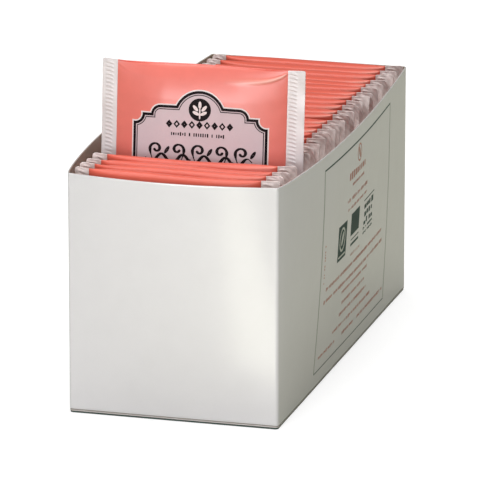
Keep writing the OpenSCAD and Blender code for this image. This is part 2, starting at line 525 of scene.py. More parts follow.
def bar_sizes(pitch, width, height, gap_share, seed):
    """Sizes of the bars in a row of text, from millimetres."""
    lengths = {"Bar Pitch": pitch * MM, "Bar Width": width * MM, "Bar Height": height * MM}
    return {**lengths, "Gap Share": gap_share, "Seed": seed}


def text_row(start, length, z, sizes, drape, proud, upright=False):
    """A row of word bars that starts at a flat point, draped on a surface."""
    holder = new_piece("text_row", [(0, 0, 0)], [], None)
    run_nodes(holder, words, {"Length": length, "Thickness": INK_THICK, **sizes})
    points = np.empty(len(holder.data.vertices) * 3)
    holder.data.vertices.foreach_get("co", points)
    points = points.reshape(-1, 3)
    faces = [list(face.vertices) for face in holder.data.polygons]
    mesh = holder.data
    bpy.data.objects.remove(holder)
    bpy.data.meshes.remove(mesh)
    flat = points[:, :2]
    if upright:
        flat = np.stack([-flat[:, 1], flat[:, 0]], axis=-1)
    return drape(flat + (start, z), proud - INK_THICK / 2 + points[:, 2]), faces


def ink_material(name, color, roughness):
    """Printing ink on paper: its colour, broken up a little by the fibres beneath."""
    material, tree, shader = new_material(name)
    fibre = add_node(tree, "ShaderNodeGroup", node_tree=fibre_group)
    fibre.inputs["Grain Scale"].default_value = 3000.0
    fibre.inputs["Color Change"].default_value = 0.1
    fibre.inputs["Color"].default_value = color
    tree.links.new(fibre.outputs["Color"], shader.inputs["Base Color"])
    shader.inputs["Roughness"].default_value = roughness
    shader.inputs["Specular IOR Level"].default_value = 0.1
    return material


def printed_piece(name, parts, material):
    """One piece from all the printed shapes of one colour."""
    points, faces = join_parts(parts)
    piece = new_piece(name, points, faces, material, smooth=False)
    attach(piece, "root")
    return piece


green_ink = ink_material("green_ink", (0.022, 0.062, 0.055, 1.0), 0.45)
faint_ink = ink_material("faint_ink", (0.36, 0.39, 0.35, 1.0), 0.5)
red_ink = ink_material("red_ink", (0.52, 0.25, 0.20, 1.0), 0.5)
pale_ink = ink_material("pale_ink", (0.62, 0.64, 0.59, 1.0), 0.5)


def wall_shape(shape, proud=INK_PROUD):
    """A flat shape as a slab of ink on the right wall."""
    return draped_slab(*shape, on_right_wall, proud)


# The ruled frame: a firm line above, a thin one below and faint ones at the sides.
FRAME_FRONT, FRAME_BACK = 43.3 * MM, 138.9 * MM
FRAME_LOW, FRAME_HIGH = 5.9 * MM, 77.5 * MM
FIRM_LINE, THIN_LINE, FAINT_HALF = 0.55 * MM, 0.32 * MM, 0.35 * MM
green_parts = [
    wall_shape(patch(FRAME_FRONT, FRAME_BACK, FRAME_HIGH - FIRM_LINE, FRAME_HIGH)),
    wall_shape(patch(FRAME_FRONT, FRAME_BACK, FRAME_LOW, FRAME_LOW + THIN_LINE)),
]
faint_low, faint_high = FRAME_LOW + 0.4 * MM, FRAME_HIGH - 0.6 * MM
faint_parts = [
    wall_shape(patch(along - FAINT_HALF, along + FAINT_HALF, faint_low, faint_high))
    for along in (FRAME_FRONT, FRAME_BACK)
]

# Three dark blocks in a row: one with a pale ring and leaf, a plain one with two lines
# below it, and one broken up under a line. Each entry is where a shape starts and ends
# along the wall and up it, in millimetres.
DARK_SHAPES = [
    (62.8, 73.7, 40.0, 52.4),
    (79.5, 91.4, 44.9, 52.8),
    (80.4, 91.5, 43.1, 43.5),
    (80.4, 91.5, 41.1, 42.0),
    (98.1, 113.8, 52.4, 52.8),
]
for shape in DARK_SHAPES:
    green_parts.append(wall_shape(patch(*(edge * MM for edge in shape))))
BROKEN_FRONT, BROKEN_LOW = 99.0, 44.0
BROKEN_PITCH, BROKEN_RISE = 3.6, 2.7
broken = np.random.RandomState(41)
for row in range(3):
    for column in range(4):
        front = (BROKEN_FRONT + BROKEN_PITCH * column + broken.uniform(-0.5, 0.5)) * MM
        low = (BROKEN_LOW + BROKEN_RISE * row + broken.uniform(-0.3, 0.3)) * MM
        size = broken.uniform(1.4, 3.3) * MM, broken.uniform(1.2, 2.3) * MM
        green_parts.append(wall_shape(patch(front, front + size[0], low, low + size[1])))
for z, seed in ((42.6 * MM, 42), (40.9 * MM, 40)):
    sizes = bar_sizes(pitch=1.3, width=1.0, height=0.9, gap_share=0.1, seed=seed)
    green_parts.append(text_row(98.6 * MM, 15 * MM, z, sizes, on_right_wall, INK_PROUD))

# The pale ring, leaf and line on the first block. A leaf's eye is the tiny hole in it.
PALE_PROUD = INK_PROUD + INK_STEP
RING_MIDDLE = (68.1 * MM, 47.0 * MM)
RING_OUTER, RING_INNER = (3.7 * MM, 4.3 * MM), (2.9 * MM, 3.5 * MM)
LEAF_MIDDLE, LEAF_RADII = (68.3 * MM, 47.2 * MM), (1.1 * MM, 2.6 * MM)
LEAF_EYE = (0.1 * MM, 0.2 * MM)
pale_parts = [
    ring_slab(RING_MIDDLE, RING_OUTER, RING_INNER, on_right_wall, PALE_PROUD),
    ring_slab(LEAF_MIDDLE, LEAF_RADII, LEAF_EYE, on_right_wall, PALE_PROUD, -0.5),
    wall_shape(patch(63.8 * MM, 72.7 * MM, 41.0 * MM, 41.6 * MM), PALE_PROUD),
]

# Rows of text. Each entry is where a row starts and ends along the wall, how high it
# stands, the height and the pitch of its bars, in millimetres, and its share of gaps.
BAR_SHARE = 0.62
TEXT_ROWS = [
    (75.5, 100.7, 67.0, 2.9, 2.6, 0.05),
    (79.2, 96.7, 63.5, 1.1, 0.8, 0.1),
    (73.5, 102.1, 58.7, 1.5, 0.95, 0.14),
    (74.6, 102.0, 55.5, 1.1, 0.8, 0.16),
    (82.0, 95.0, 37.7, 1.1, 0.85, 0.16),
    (50.9, 130.5, 34.0, 1.4, 0.9, 0.15),
    (49.0, 132.6, 29.8, 1.4, 0.9, 0.15),
    (73.6, 109.3, 26.7, 1.2, 0.85, 0.15),
    (74.9, 106.5, 22.7, 1.3, 0.9, 0.15),
    (72.5, 111.1, 18.9, 1.3, 0.9, 0.15),
    (65.3, 118.3, 14.7, 1.3, 0.9, 0.15),
    (48.0, 70.2, 10.6, 1.3, 0.9, 0.12),
    (79.2, 94.9, 10.6, 1.3, 0.9, 0.12),
    (99.8, 137.3, 10.6, 1.3, 0.9, 0.12),
]
red_parts = []
for row, (start, end, z, height, pitch, gap_share) in enumerate(TEXT_ROWS):
    sizes = bar_sizes(pitch, BAR_SHARE * pitch, height, gap_share, seed=11 + row)
    length = (end - start) * MM
    red_parts.append(text_row(start * MM, length, z * MM, sizes, on_right_wall, INK_PROUD))

# One short row runs up the wall beside the frame's front line.
sizes = bar_sizes(pitch=1.0, width=0.6, height=1.0, gap_share=0.3, seed=31)
red_parts.append(text_row(47.2 * MM, 14.2 * MM, 37.1 * MM, sizes, on_right_wall, INK_PROUD, True))

# The emblem above the text: a slim oval ring round a leaf.
EMBLEM = (88.0 * MM, 72.7 * MM)
EMBLEM_OUTER, EMBLEM_INNER = (2.9 * MM, 3.2 * MM), (2.3 * MM, 2.6 * MM)
EMBLEM_LEAF = (0.9 * MM, 2.3 * MM)
red_parts.append(ring_slab(EMBLEM, EMBLEM_OUTER, EMBLEM_INNER, on_right_wall, INK_PROUD))
red_parts.append(ring_slab(EMBLEM, EMBLEM_LEAF, LEAF_EYE, on_right_wall, INK_PROUD, 0.5))

printed_piece("wall_print_green", green_parts, green_ink)
printed_piece("wall_print_faint", faint_parts, faint_ink)
printed_piece("wall_print_red", red_parts, red_ink)
printed_piece("wall_print_pale", pale_parts, pale_ink)

# ---------------------------------------------------------------------------
# Sachets. Each is a sheet of coral printed paper folded over a tea bag: closed by a fold
# at the top, by crimped plain seals at both sides and by a flat seal along the bottom.
# ---------------------------------------------------------------------------
SEAL_LEFT = 5.3 * MM
SEAL_RIGHT = 6.0 * MM
SEAL_BOTTOM = 6.5 * MM
SEAL_T = 0.32 * MM
SEAL_CURL = 0.9 * MM
SACHET_H = 81.6 * MM
SACHET_T = 6.3 * MM
SWELL_SIDE = 17 * MM
SWELL_TOP = 6 * MM
SWELL_BOTTOM = 20 * MM
SACHET_COUNT = 25
DRAWN_PLACE = 5
DRAWN_TURN = math.radians(0.2)
# How far the loose head of a seal and the wander of the fold reach down, how far a seal
# may bend out of line, and how far a corner's crease runs into the panel.
SEAL_HEAD = 11 * MM
FOLD_REACH = 9 * MM
MOST_BEND = 2.6 * MM
CREASE_REACH = 22 * MM
first_low, first_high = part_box("sachet_01")
sachet_w = first_high.x - first_low.x
panel_left = -sachet_w / 2 + SEAL_LEFT
panel_right = sachet_w / 2 - SEAL_RIGHT


def swell(depth, reach, blunt=2.0):
    """Rise from 0 at an edge to 1 at depth reach; 2 gives a quarter of an ellipse."""
    gap = 1 - np.clip(depth / reach, 0, 1)
    return (1 - gap**blunt) ** (1 / blunt)


def scatter(place, k):
    """The scatter that sets each solid's curl: from 0 to 1, another value for each k."""
    value = math.sin(math.radians(place * 137.5 + k * 61.3)) * 43.7585
    return value - math.floor(value)


class Wrapper:
    """The uneven shape of one sachet's paper, in the sachet's own frame.

    An array of two values is for the left end and the right end. The seals curl, lie over
    and crumple at their heads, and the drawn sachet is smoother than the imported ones.
    """

    def __init__(self, place):
        chance = np.random.RandomState(700 + place)
        self.curl = SEAL_CURL * np.array([2 * scatter(place, 1) - 1, 2 * scatter(place, 2) - 1])
        self.lay = chance.uniform(0.2, 1.5, 2) * MM
        self.seal_wave = chance.uniform(0.4, 0.75, 2) * MM
        self.seal_phase = chance.uniform(0, 2 * np.pi, 6)
        self.fold_wave = chance.uniform(0.2, 0.6) * MM
        self.fold_phase = chance.uniform(0, 2 * np.pi, 3)
        self.pucker = chance.uniform(0.05, 0.12, 2) * MM
        self.pucker_phase = chance.uniform(0, 2 * np.pi, 2)
        self.crease = np.array([chance.uniform(0.02, 0.1), chance.uniform(0.12, 0.3)]) * MM
        self.corner = chance.uniform(0.7, 1.5, 2) * MM
        self.side_blunt = 2.0
        self.crease_path = 0.25 * MM, chance.uniform(0.7, 1.7) * MM
        # How strongly a paler coral is painted along the right corner's crease, as a painted
        # highlight.
        self.painted_glint = chance.uniform(0.0, 0.8)
        self.dip = 0.2 * MM
        self.crumple = 0.13 * MM
        self.top_reach, self.blunt = SWELL_TOP, 2.4
        # Behind the drawn sachet they stand tight, with straighter and blunter tops.
        if place > DRAWN_PLACE + 1:
            self.top_reach, self.blunt = 1.7 * MM, 2.6
            self.fold_wave *= 0.25
            self.dip *= 0.4
        # The drawn sachet is free to fill out gently, and one of its corners is creased.
        if place == DRAWN_PLACE:
            self.curl = np.array([0.35, -0.2]) * MM
            self.lay = np.array([0.0, 0.0])
            self.crumple = 0.0
            self.seal_wave = np.array([0.2, 0.12]) * MM
            self.pucker = np.array([0.05, 0.05]) * MM
            self.crease = np.array([0.08, 0.5]) * MM
            self.fold_wave = 0.2 * MM
            self.corner = np.array([0.5, 0.7]) * MM
            self.top_reach, self.blunt = 12 * MM, 1.5
            self.side_blunt = 1.35
            self.crease_path = 0.8 * MM, 4.2 * MM
            # Its right corner's crease carries a strong painted highlight.
            self.painted_glint = 0.85

    def middle(self, x, z):
        """How far the middle of the paper lies behind the sachet's own plane."""
        out_left = np.clip(panel_left - x, 0, None) / SEAL_LEFT
        out_right = np.clip(x - panel_right, 0, None) / SEAL_RIGHT
        depth = SACHET_H - z
        head = np.clip(1 - depth / SEAL_HEAD, 0, 1) ** 1.5
        total = 0
        for k, out in enumerate((out_left, out_right)):
            slow = np.sin(z / (4.4 * MM) + self.seal_phase[k])
            quick = np.sin(z / (1.7 * MM) + 2.2 * out + self.seal_phase[k + 2])
            buckle = np.sin(3.6 * out + self.seal_phase[k + 4] + z / (6 * MM))
            wave = slow + 0.5 * quick + 0.8 * head * buckle
            bend = self.curl[k] + self.lay[k] * head + self.seal_wave[k] * wave
            total = total + out**1.2 * bend
        for side in (out_left, out_right):
            creased = np.sin(x / (0.42 * MM) + self.seal_phase[0] + z / (1.3 * MM))
            creased = creased * np.sin(z / (0.5 * MM) + self.seal_phase[1])
            total = total + self.crumple * head * np.clip(side * 4, 0, 1) * creased
        near_fold = np.clip(1 - depth / FOLD_REACH, 0, 1) ** 2
        meander = np.sin(x / (11 * MM) + self.fold_phase[0])
        meander = meander + 0.5 * np.sin(x / (5.1 * MM) + self.fold_phase[1])
        inside = np.clip((panel_right - x) / (4 * MM), 0, 1)
        inside = inside * np.clip((x - panel_left) / (4 * MM), 0, 1)
        bend = np.clip(total, -MOST_BEND, MOST_BEND)
        return bend + self.fold_wave * near_fold * meander * inside

    def fold_drop(self, x):
        """How far the top fold dips below its full height at x."""
        from_left, from_right = x + sachet_w / 2, sachet_w / 2 - x
        dip = self.dip * (1 + np.sin(x / (9 * MM) + self.fold_phase[2]))
        dip = dip * np.clip(np.minimum(from_left, from_right) / (8 * MM), 0, 1)
        for k, from_side in enumerate((from_left, from_right)):
            gap = 1 - np.clip(from_side / self.corner[k], 0, 1)
            dip = dip + self.corner[k] * (1 - np.sqrt(1 - gap * gap))
        return dip

    def half(self, x, z):
        """Half the thickness of the filled sachet."""
        depth_left, depth_right = x - panel_left, panel_right - x
        side = swell(np.minimum(depth_left, depth_right), SWELL_SIDE, self.side_blunt)
        up = swell(z - SEAL_BOTTOM, SWELL_BOTTOM) * swell(SACHET_H - z, self.top_reach, self.blunt)
        return SEAL_T / 2 + (SACHET_T - SEAL_T) / 2 * side * up

    def crease_share(self, d, z):
        """How much of a top corner's crease there is at a distance d into the panel."""
        start, fall = self.crease_path
        line = SACHET_H - z - start - fall * (1 - np.exp(-d / (5 * MM)))
        width = 0.28 * MM + 0.05 * np.minimum(d, 3 * fall)
        reach = np.clip(d / (1.0 * MM), 0, 1) * np.clip(1 - d / CREASE_REACH, 0, 1)
        return reach * np.exp(-((line / width) ** 2))

    def relief(self, x, z):
        """Creases that run into the panel from the seals and from their top corners."""
        total = 0
        for k, d in enumerate((x - panel_left, panel_right - x)):
            inside = np.clip(d / (1.0 * MM), 0, 1)
            d = np.clip(d, 0, None)
            fade = inside * np.exp(-d / (3.2 * MM))
            total = total + self.pucker[k] * fade * np.sin(z / (0.95 * MM) + self.pucker_phase[k])
            total = total + self.crease[k] * self.crease_share(d, z)
        return total * np.clip((SACHET_H - z) / (0.8 * MM), 0, 1)

    def face(self, x, z, side, proud=0.0):
        """Points of the front face, side -1, or of the rear face, side 1."""
        y = self.middle(x, z) + side * (self.half(x, z) + self.relief(x, z) + proud)
        share_up = z / SACHET_H
        return np.stack([x, y, z - self.fold_drop(x) * share_up**3], axis=-1)


def seat(place):
    """The foot and the upright direction of a sachet, read from its CAD solid."""
    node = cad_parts[f"sachet_{place:02d}"]
    points = np.array([v.co for v in node.data.vertices])
    middle_x = (points[:, 0].min() + points[:, 0].max()) / 2
    points = points[np.abs(points[:, 0] - middle_x) < 20 * MM]
    heights = points[:, 2]
    foot = points[heights < heights.min() + 0.5 * MM].mean(0)
    head = points[heights > heights.max() - 0.5 * MM].mean(0)
    foot[0] = middle_x
    lean = math.atan2(head[1] - foot[1], head[2] - foot[2])
    return foot, lean


def place_points(points, place):
    """Points in a sachet's own frame, moved to its seat in the row."""
    foot, lean = seat(place)
    turn = DRAWN_TURN if place == DRAWN_PLACE else 0.0
    c, s = math.cos(lean), math.sin(lean)
    tilt = np.array([[1, 0, 0], [0, c, s], [0, -s, c]])
    c, s = math.cos(turn), math.sin(turn)
    swing = np.array([[c, -s, 0], [s, c, 0], [0, 0, 1]])
    return points.reshape(-1, 3) @ (swing @ tilt).T + foot


# The crimp: rows of short curved ribs, pressed through both layers of each side seal.
crimp_sizes = {
    "Rib Pitch": 1.34 * MM,
    "Rib Length": 2.7 * MM,
    "Rib Depth": 0.13 * MM,
    "Rib Arch": 0.22 * MM,
    "Rib Slant": 0.25 * MM,
    "Left Middle": -sachet_w / 2 + 2.5 * MM,
    "Right Middle": sachet_w / 2 - 4.0 * MM,
    "Lowest Rib": 0.0,
    "Highest Rib": SACHET_H,
}
crimp = bpy.data.node_groups.new("Seal crimp", "GeometryNodeTree")
crimp_sockets = crimp.interface
crimp_sockets.new_socket("Geometry", in_out="INPUT", socket_type="NodeSocketGeometry")
for label, value in crimp_sizes.items():
    socket = crimp_sockets.new_socket(label, in_out="INPUT", socket_type="NodeSocketFloat")
    socket.default_value = value
crimp_sockets.new_socket("Material", in_out="INPUT", socket_type="NodeSocketMaterial")
crimp_sockets.new_socket("Geometry", in_out="OUTPUT", socket_type="NodeSocketGeometry")
crimp_in = crimp.nodes.new("NodeGroupInput").outputs
crimp_point = add_node(crimp, "GeometryNodeInputPosition").outputs[0]
crimp_place = add_node(crimp, "ShaderNodeSeparateXYZ", {0: crimp_point})
crimp_x, crimp_z = crimp_place.outputs["X"], crimp_place.outputs["Z"]
RIB_TAPER, RIB_SOFTNESS = 4.0, 0.3
RIDGE_WIDER, GROOVE_FLOOR = 0.1, -0.25
half_length = calc(crimp, "MULTIPLY", crimp_in["Rib Length"], 0.5)
rib_total = None
for label in ("Left Middle", "Right Middle"):
    off_middle = calc(crimp, "SUBTRACT", crimp_x, crimp_in[label])
    across = calc(crimp, "DIVIDE", off_middle, half_length)
    from_end = calc(crimp, "SUBTRACT", 1.0, calc(crimp, "ABSOLUTE", across))
    taper = calc(crimp, "MULTIPLY", RIB_TAPER, from_end)
    window = calc(crimp, "SMOOTH_MIN", 1.0, taper, RIB_SOFTNESS)
    window = calc(crimp, "MAXIMUM", window, 0.0)
    arch = calc(crimp, "MULTIPLY", crimp_in["Rib Arch"], calc(crimp, "MULTIPLY", across, across))
    arch = calc(crimp, "MULTIPLY_ADD", crimp_in["Rib Slant"], across, arch)
    turns = calc(crimp, "DIVIDE", calc(crimp, "ADD", crimp_z, arch), crimp_in["Rib Pitch"])
    ridge = calc(crimp, "COSINE", calc(crimp, "MULTIPLY", turns, 2 * math.pi))
    ridge = calc(crimp, "MAXIMUM", calc(crimp, "ADD", ridge, RIDGE_WIDER), GROOVE_FLOOR)
    rib = calc(crimp, "MULTIPLY", window, ridge)
    rib_total = rib if rib_total is None else calc(crimp, "ADD", rib_total, rib)
above = calc(crimp, "GREATER_THAN", crimp_z, crimp_in["Lowest Rib"])
below = calc(crimp, "LESS_THAN", crimp_z, crimp_in["Highest Rib"])
rib_total = calc(crimp, "MULTIPLY", rib_total, calc(crimp, "MULTIPLY", above, below))
rib_push = calc(crimp, "MULTIPLY", rib_total, calc(crimp, "MULTIPLY", crimp_in["Rib Depth"], -1.0))
crimp_offset = add_node(crimp, "ShaderNodeCombineXYZ", {"Y": rib_push})
crimped = add_node(
    crimp,
    "GeometryNodeSetPosition",
    {"Geometry": crimp_in["Geometry"], "Offset": crimp_offset.outputs[0]},
)
crimp_real = add_node(crimp, "GeometryNodeRealizeInstances", {"Geometry": crimped.outputs[0]})
crimp_paper = add_node(
    crimp,
    "GeometryNodeSetMaterial",
    {"Geometry": crimp_real.outputs[0], "Material": crimp_in["Material"]},
)
crimp.links.new(crimp_paper.outputs[0], crimp.nodes.new("NodeGroupOutput").inputs[0])


# Paper of the wrappers: coral ink over the panel, with painted shade in a darker band along the top
# fold and a painted highlight of paler coral along the right corner's crease, and bare pale paper
# on the seals.
# The drawn sachet's coral is the lit copy of one coral ink, paler with painted sheen; the packed
# sachets' coral is its shaded copy.
CORAL = (0.85, 0.20, 0.16, 1.0)
# The shaded copy of the coral, as painted shade.
SHADED_PACKED_CORAL = (0.71, 0.12, 0.078, 1.0)
# A darker coral for painted shade along the top fold.
FOLD_SHADE_CORAL = (0.72, 0.09, 0.055, 1.0)
BARE_PAPER = (0.76, 0.715, 0.72, 1.0)
# Seal paper painted warmer, as coral bounce light from neighbouring panels.
BOUNCE_LIT_PACKED_BARE = (0.87, 0.75, 0.725, 1.0)
# Paler coral painted along a crease as a highlight.
PAINTED_GLINT_CORAL = (0.94, 0.60, 0.50, 1.0)
FOLD_LINE = 0.45 * MM
PAPER_ROUGHNESS = 0.25
paper_material, paper_tree, paper_shader = new_material("sachet_paper")
wrapper_map = add_node(paper_tree, "ShaderNodeUVMap", uv_map="wrapper")
wrapper_place = add_node(paper_tree, "ShaderNodeSeparateXYZ", {0: wrapper_map.outputs[0]})
across, height = wrapper_place.outputs["X"], wrapper_place.outputs["Y"]
past_left = calc(paper_tree, "GREATER_THAN", across, SEAL_LEFT / sachet_w)
before_right = calc(paper_tree, "LESS_THAN", across, 1 - SEAL_RIGHT / sachet_w)
printed = calc(paper_tree, "MULTIPLY", past_left, before_right)
# A thin band along the top fold is painted darker, as shade where the paper turns over.
fold_shade_band = calc(paper_tree, "GREATER_THAN", height, 1 - FOLD_LINE / SACHET_H)
coral = blend_colors(paper_tree, fold_shade_band, CORAL, FOLD_SHADE_CORAL)
coral.node.name = "coral_and_fold_shade"
# The crease's painted highlight: paler coral blended in along the right corner's crease.
painted_glint = add_node(paper_tree, "ShaderNodeAttribute", attribute_name="painted_glint").outputs["Fac"]
glinted_coral = blend_colors(paper_tree, painted_glint, coral, PAINTED_GLINT_CORAL)
paper_color = blend_colors(paper_tree, printed, BARE_PAPER, glinted_coral)
paper_color.node.name = "bare_or_ink"
paper_fibre = add_node(paper_tree, "ShaderNodeGroup", node_tree=fibre_group)
paper_fibre.inputs["Grain Scale"].default_value = 3200.0
paper_fibre.inputs["Cloud Scale"].default_value = 220.0
paper_fibre.inputs["Color Change"].default_value = 0.07
paper_tree.links.new(paper_color, paper_fibre.inputs["Color"])
paper_tree.links.new(paper_fibre.outputs["Color"], paper_shader.inputs["Base Color"])
paper_cloud = paper_fibre.outputs["Cloud"]
paper_rough = calc(paper_tree, "MULTIPLY_ADD", paper_cloud, CLOUD_ROUGHER, PAPER_ROUGHNESS)
paper_tree.links.new(paper_rough, paper_shader.inputs["Roughness"])
paper_shader.inputs["Coat Weight"].default_value = 0.55
paper_shader.inputs["Coat Roughness"].default_value = 0.33
paper_bump = add_node(
    paper_tree,
    "ShaderNodeBump",
    {"Strength": 0.15, "Distance": 0.00003, "Height": paper_fibre.outputs["Height"]},
)
paper_tree.links.new(paper_bump.outputs[0], paper_shader.inputs["Normal"])

# The imported wrappers are duller at their tops than the drawn one, of one darker coral to the
# fold: painted shade for the dimmer light in the packed row.
# Their seals are painted warmer, a painted bounce of coral light from the coral panels round them.
shaded_packed_paper = paper_material.copy()
shaded_packed_paper.name = "shaded_packed_paper"
packed_coral_mix = shaded_packed_paper.node_tree.nodes["coral_and_fold_shade"]
packed_coral_mix.inputs[6].default_value = SHADED_PACKED_CORAL
packed_coral_mix.inputs[7].default_value = SHADED_PACKED_CORAL
shaded_packed_paper.node_tree.nodes["bare_or_ink"].inputs[6].default_value = BOUNCE_LIT_PACKED_BARE
packed_shader = shaded_packed_paper.node_tree.nodes["Principled BSDF"]
packed_shader.inputs["Coat Weight"].default_value = 0.1
packed_shader.inputs["Specular IOR Level"].default_value = 0.3


def seal_columns(steps):
    """Columns of points across a sachet, close together in both seals."""
    seam, edge, ease = 0.05 * MM, 0.42 * MM, 0.75
    share = np.linspace(0, 1, steps["panel"] + 1)[1:-1]
    eased = share - np.sin(2 * np.pi * share) / (2 * np.pi) * ease
    return np.concatenate(
        [
            -sachet_w / 2 + np.array([0.0, 0.07, 0.2]) * MM,
            np.linspace(-sachet_w / 2 + edge, panel_left - seam, steps["seal"] + 1),
            [panel_left + seam],
            panel_left + eased * (panel_right - panel_left),
            [panel_right - seam],
            np.linspace(panel_right + seam, sachet_w / 2 - edge, steps["seal"] + 1),
            sachet_w / 2 - np.array([0.2, 0.07, 0.0]) * MM,
        ]
    )


def sachet_rows(fine_from, fine_pitch, coarse_count):
    """Heights of a sachet's rows: coarse below fine_from, then fine, finest at the fold."""
    crest = SACHET_H - np.array([0.9, 0.6, 0.38, 0.2, 0.08, 0.0]) * MM
    fine = np.arange(fine_from, crest[0] - fine_pitch / 2, fine_pitch)
    return np.concatenate([np.linspace(0, fine_from, coarse_count, endpoint=False), fine, crest])


def make_sachet(place, columns, rows, ribs, material):
    """One sachet: two faces of a closed paper envelope, crimped and seated in the row."""
    wrapper = Wrapper(place)
    x, z = np.meshgrid(columns, rows)
    front = wrapper.face(x, z, -1)
    rear = wrapper.face(x, z, 1)[:, ::-1]
    loops = np.concatenate([front, rear], axis=1)
    ring = loops.shape[1]
    faces = ring_faces(len(rows), ring)
    faces += cap_faces(ring, 0, flip=False)
    faces += cap_faces(ring, (len(rows) - 1) * ring, flip=True)
    piece = new_piece(f"sachet_wrapper_{place:02d}", loops, faces, material)
    flat = np.concatenate([x, x[:, ::-1]], axis=1) / sachet_w + 0.5
    up = np.concatenate([z, z], axis=1) / SACHET_H
    uv = piece.data.uv_layers.new(name="wrapper")
    corners = np.empty(len(piece.data.loops), np.int32)
    piece.data.loops.foreach_get("vertex_index", corners)
    values = np.stack([flat.ravel()[corners], up.ravel()[corners]], axis=-1)
    uv.data.foreach_set("uv", values.astype(np.float32).ravel())
    # Where the painted highlight lies along the right corner's crease, for the paper material to
    # read.
    painted_glint = wrapper.painted_glint * wrapper.crease_share(np.clip(panel_right - x, 0, None), z)
    point_values(piece, "painted_glint", np.concatenate([painted_glint, painted_glint[:, ::-1]], axis=1))
    run_nodes(piece, crimp, {**ribs, "Material": material})
    points = np.empty(len(piece.data.vertices) * 3)
    piece.data.vertices.foreach_get("co", points)
    piece.data.vertices.foreach_set("co", place_points(points, place).ravel())
    piece.data.update()
    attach(piece, "root")
    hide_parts(f"sachet_{place:02d}")


# Only the upper end of a packed sachet shows, so its rows are fine there alone, and its
# ribs are pressed there alone.
packed_columns = seal_columns({"panel": 40, "seal": 14})
packed_rows = sachet_rows(fine_from=67 * MM, fine_pitch=0.27 * MM, coarse_count=12)
packed_ribs = {"Lowest Rib": 68 * MM, "Highest Rib": SACHET_H - 0.5 * MM, "Rib Depth": 0.28 * MM}
drawn_columns = seal_columns({"panel": 90, "seal": 22})
drawn_rows = sachet_rows(fine_from=0.3 * MM, fine_pitch=0.3 * MM, coarse_count=1)
drawn_ribs = {"Lowest Rib": 2 * MM, "Highest Rib": SACHET_H - 0.7 * MM}
for place in range(1, SACHET_COUNT + 1):
    if place == DRAWN_PLACE:
        make_sachet(place, drawn_columns, drawn_rows, drawn_ribs, paper_material)
    else:
        make_sachet(place, packed_columns, packed_rows, packed_ribs, shaded_packed_paper)

# ---------------------------------------------------------------------------
# Label on the drawn sachet. A pale panel with a domed and stepped outline, printed on the
# wrapper's front in black and white, with a sprig on a disc, a row of lozenges and a vine.
# ---------------------------------------------------------------------------
LABEL_HALF = 22.7 * MM
LABEL_STEP_Z = 64.3 * MM
LABEL_LOW_Z = 15.0 * MM
COVE_R = 3.2 * MM
DOME_Z = 64.15 * MM
DOME_R = 8.4 * MM
SHOULDER_Z = 67.3 * MM
ROUND_X, ROUND_Z = 13.55 * MM, 64.4 * MM
ROUND_R = 2.9 * MM
LABEL_X = -0.15 * MM
drawn_wrapper = Wrapper(DRAWN_PLACE)


def on_drawn_sachet(flat, proud):
    """Points on the drawn sachet's front face, from its own frame."""
    points = drawn_wrapper.face(flat[..., 0] + LABEL_X, flat[..., 1], -1, proud)
    return place_points(points, DRAWN_PLACE)


def arc(centre, radius, start, end, count):
    """Points along an arc, between two angles in degrees."""
    angle = np.radians(np.linspace(start, end, count))
    return np.array(centre) + radius * np.stack([np.cos(angle), np.sin(angle)], axis=-1)


def straight(start, end, count):
    """Points along a straight line."""
    return np.linspace(np.array(start, float), np.array(end, float), count)


def label_right(inset):
    """The right half of the label's outline, from its top down, drawn in by inset."""
    dome, convex, cove = DOME_R - inset, ROUND_R - inset, COVE_R + inset
    shoulder, step = SHOULDER_Z - inset, LABEL_STEP_Z - inset
    side, low = LABEL_HALF - inset, LABEL_LOW_Z + inset
    meet = math.degrees(math.asin((shoulder - DOME_Z) / dome))
    bite = math.sqrt(cove * cove - inset * inset)
    edge = math.degrees(math.asin(abs(inset) / cove)) * (1 if inset > 0 else -1)
    tiny = 0.005 * MM
    dome_end = dome * math.cos(math.radians(meet))
    round_end, bite_start = ROUND_X + convex + tiny, LABEL_HALF - bite - tiny
    return np.concatenate(
        [
            arc((0, DOME_Z), dome, 90, meet, 16)[1:],
            straight((dome_end + tiny, shoulder + tiny), (ROUND_X, shoulder - tiny), 6)[1:-1],
            arc((ROUND_X, ROUND_Z), convex, 90, 0, 8),
            straight((round_end, step + tiny), (bite_start, step - tiny), 4),
            arc((LABEL_HALF, LABEL_STEP_Z), cove, 180 + edge, 270 - edge, 8)[1:-1],
            straight((side, LABEL_STEP_Z - bite), (side, LABEL_LOW_Z + bite), 42),
            arc((LABEL_HALF, LABEL_LOW_Z), cove, 90 + edge, 180 - edge, 8)[1:-1],
            straight((LABEL_HALF - bite, low), (0.9 * MM, low - tiny), 16),
        ]
    )


def label_line(inset):
    """The label's whole outline, clockwise from just right of its top."""
    right = label_right(inset)
    left = right[::-1] * (-1, 1)
    return np.concatenate([right, left])


def label_band(outer_inset, inner_inset, proud):
    """A line of ink that follows the label's outline."""
    flat, faces = band(label_line(inner_inset), label_line(outer_inset))
    return draped_slab(flat, faces, on_drawn_sachet, proud)


def label_fill(inset, proud):
    """The whole inside of the label, in rows from side to side."""
    right = label_right(inset)
    share = np.linspace(-1, 1, 43)
    rows = np.stack([right[:, :1] * share, np.repeat(right[:, 1:], len(share), 1)], axis=-1)
    faces = [face[::-1] for face in grid_faces(len(right), len(share))]
    return draped_slab(rows.reshape(-1, 2), faces, on_drawn_sachet, proud)


